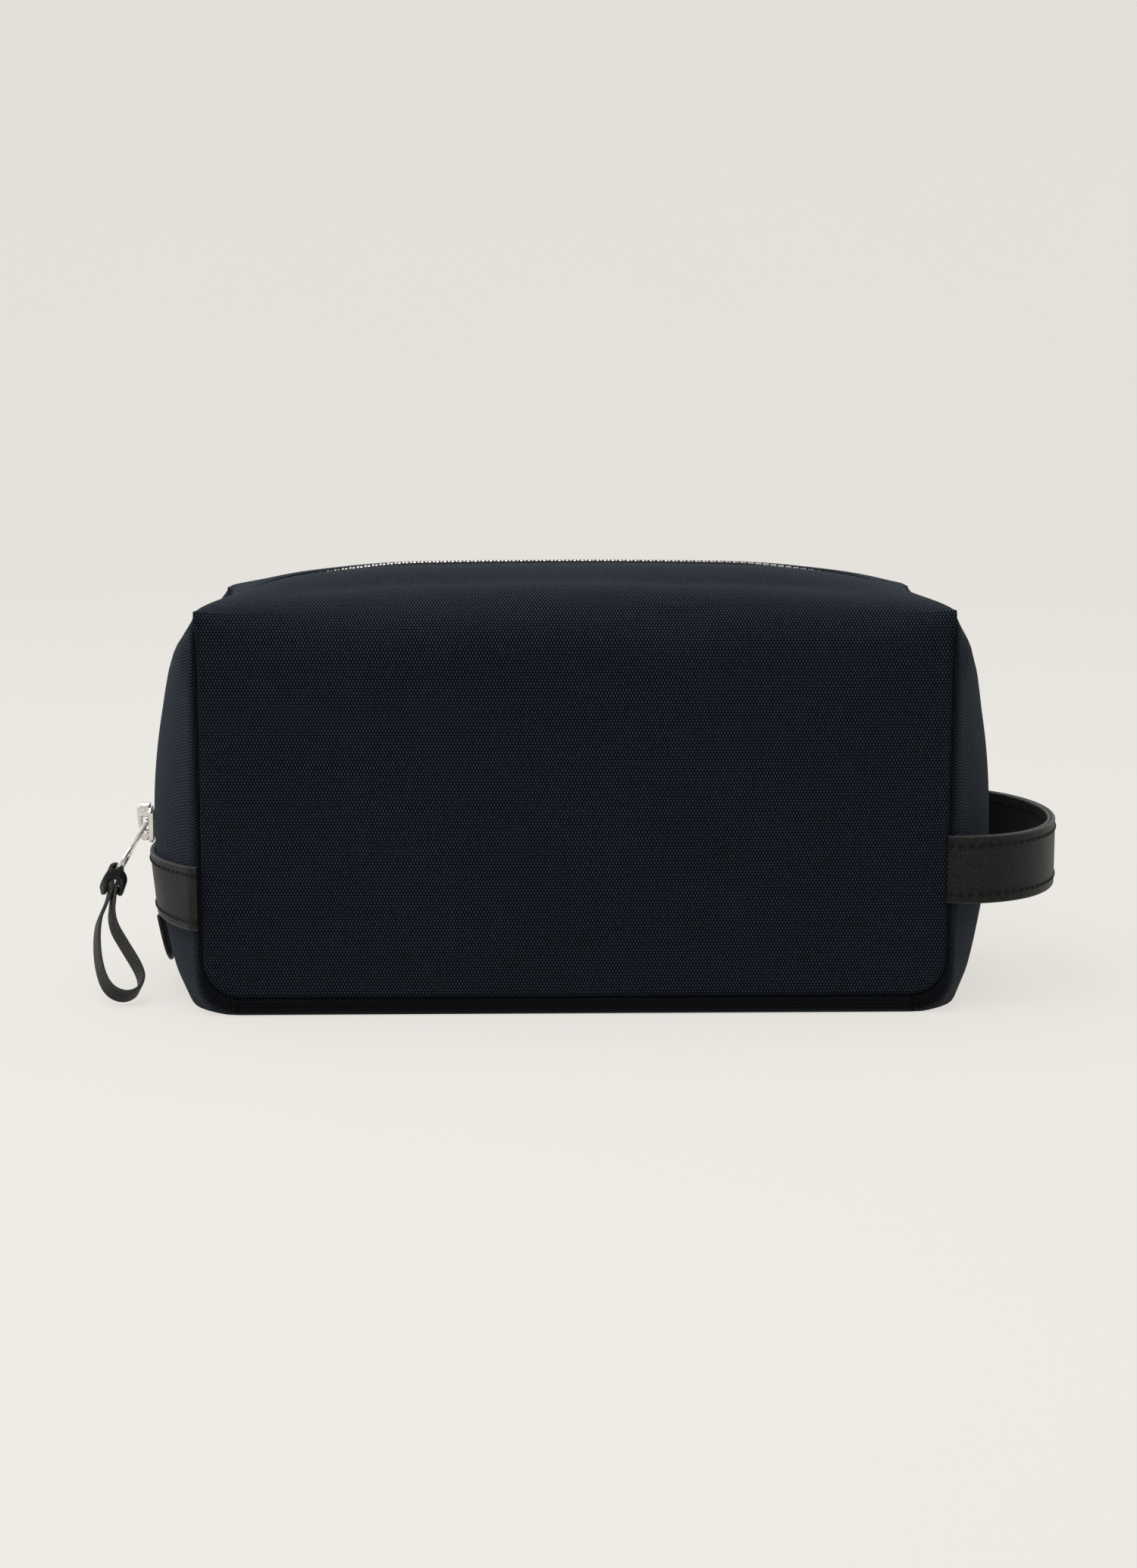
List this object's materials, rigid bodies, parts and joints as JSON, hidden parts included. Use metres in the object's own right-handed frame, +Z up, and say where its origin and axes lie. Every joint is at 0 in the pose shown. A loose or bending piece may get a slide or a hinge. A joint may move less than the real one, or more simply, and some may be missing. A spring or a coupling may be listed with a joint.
{
  "type": "shaving kit bag",
  "caption": "Boxy canvas wash bag with a zip mouth over the top and down both ends, a leather end band, a leather zip pull and a leather carry handle on the other end.",
  "frame": {"origin": "middle of the whole object's footprint, on the surface that it stands on", "axes": "+X towards the carry handle, -Y towards the front panel, +Z up"},
  "size_m": [0.3524, 0.119, 0.1564],
  "materials": {
    "canvas": "matte heavy navy canvas in a plain weave",
    "leather": "fine-grained black leather with grey burnished edges",
    "zip_tape": "black woven zip tape",
    "nickel": "polished nickel plate",
    "lining": "coated grey-blue lining cloth",
    "board": "stiffening board"
  },
  "bodies": {
    "bag_body": {"front_panel": "canvas", "rear_panel": "canvas", "base_panel": "canvas", "base_board": "board", "lining_tub": "lining", "inner_pocket": "lining", "left_end_band": "leather", "left_zip_tab": "leather", "right_zip_tab": "leather", "left_end_panel": "canvas", "left_end_front_half": "canvas", "left_end_rear_half": "canvas", "left_front_tape": "zip_tape", "left_rear_tape": "zip_tape", "left_front_teeth": "nickel", "left_rear_teeth": "nickel", "left_zip_stop": "nickel", "right_end_panel": "canvas", "right_end_front_half": "canvas", "right_end_rear_half": "canvas", "right_front_tape": "zip_tape", "right_rear_tape": "zip_tape", "right_front_teeth": "nickel", "right_rear_teeth": "nickel", "right_zip_stop": "nickel", "handle_anchor_front": "leather", "handle_anchor_rear": "leather"},
    "front_lip": {"front_top_panel": "canvas", "left_front_ear": "canvas", "right_front_ear": "canvas", "front_zip_tape": "zip_tape", "front_zip_teeth": "nickel"},
    "rear_lip": {"rear_top_panel": "canvas", "left_rear_ear": "canvas", "right_rear_ear": "canvas", "rear_zip_tape": "zip_tape", "rear_zip_teeth": "nickel"},
    "zip_slider": {"slider_body": "nickel", "slider_crown": "nickel"},
    "pull_link": {"pull_bail": "nickel"},
    "pull_strap": {"pull_loop": "leather", "pull_knot": "leather"},
    "carry_handle": {"handle_outer_strap": "leather", "handle_inner_strap": "leather"}
  },
  "joints": [
    {"name": "front_lip_open", "type": "slide", "parent": "bag_body", "child": "front_lip", "axis": [0, -1, 0], "range_m": [0, 0.036]},
    {"name": "rear_lip_open", "type": "slide", "parent": "bag_body", "child": "rear_lip", "axis": [0, 1, 0], "range_m": [0, 0.036]},
    {"name": "slider_run", "type": "hinge", "parent": "bag_body", "child": "zip_slider", "pos_m": [0.1022, 0, 0.056], "axis": [0, -1, 0], "range_deg": [-9.4, 0]},
    {"name": "pull_swing", "type": "hinge", "parent": "zip_slider", "child": "pull_link", "pos_m": [-0.1566, 0, 0.06], "axis": [0, 1, 0], "range_deg": [-4, 115]},
    {"name": "strap_swing", "type": "hinge", "parent": "pull_link", "child": "pull_strap", "pos_m": [-0.16845, -0.00446, 0.04028], "axis": [-0.357, 0.6285, -0.6911], "range_deg": [-3, 65]},
    {"name": "handle_lift", "type": "hinge", "parent": "bag_body", "child": "carry_handle", "pos_m": [0.146, 0, 0.0513], "axis": [0, 1, 0], "range_deg": [-45, 30]}
  ]
}
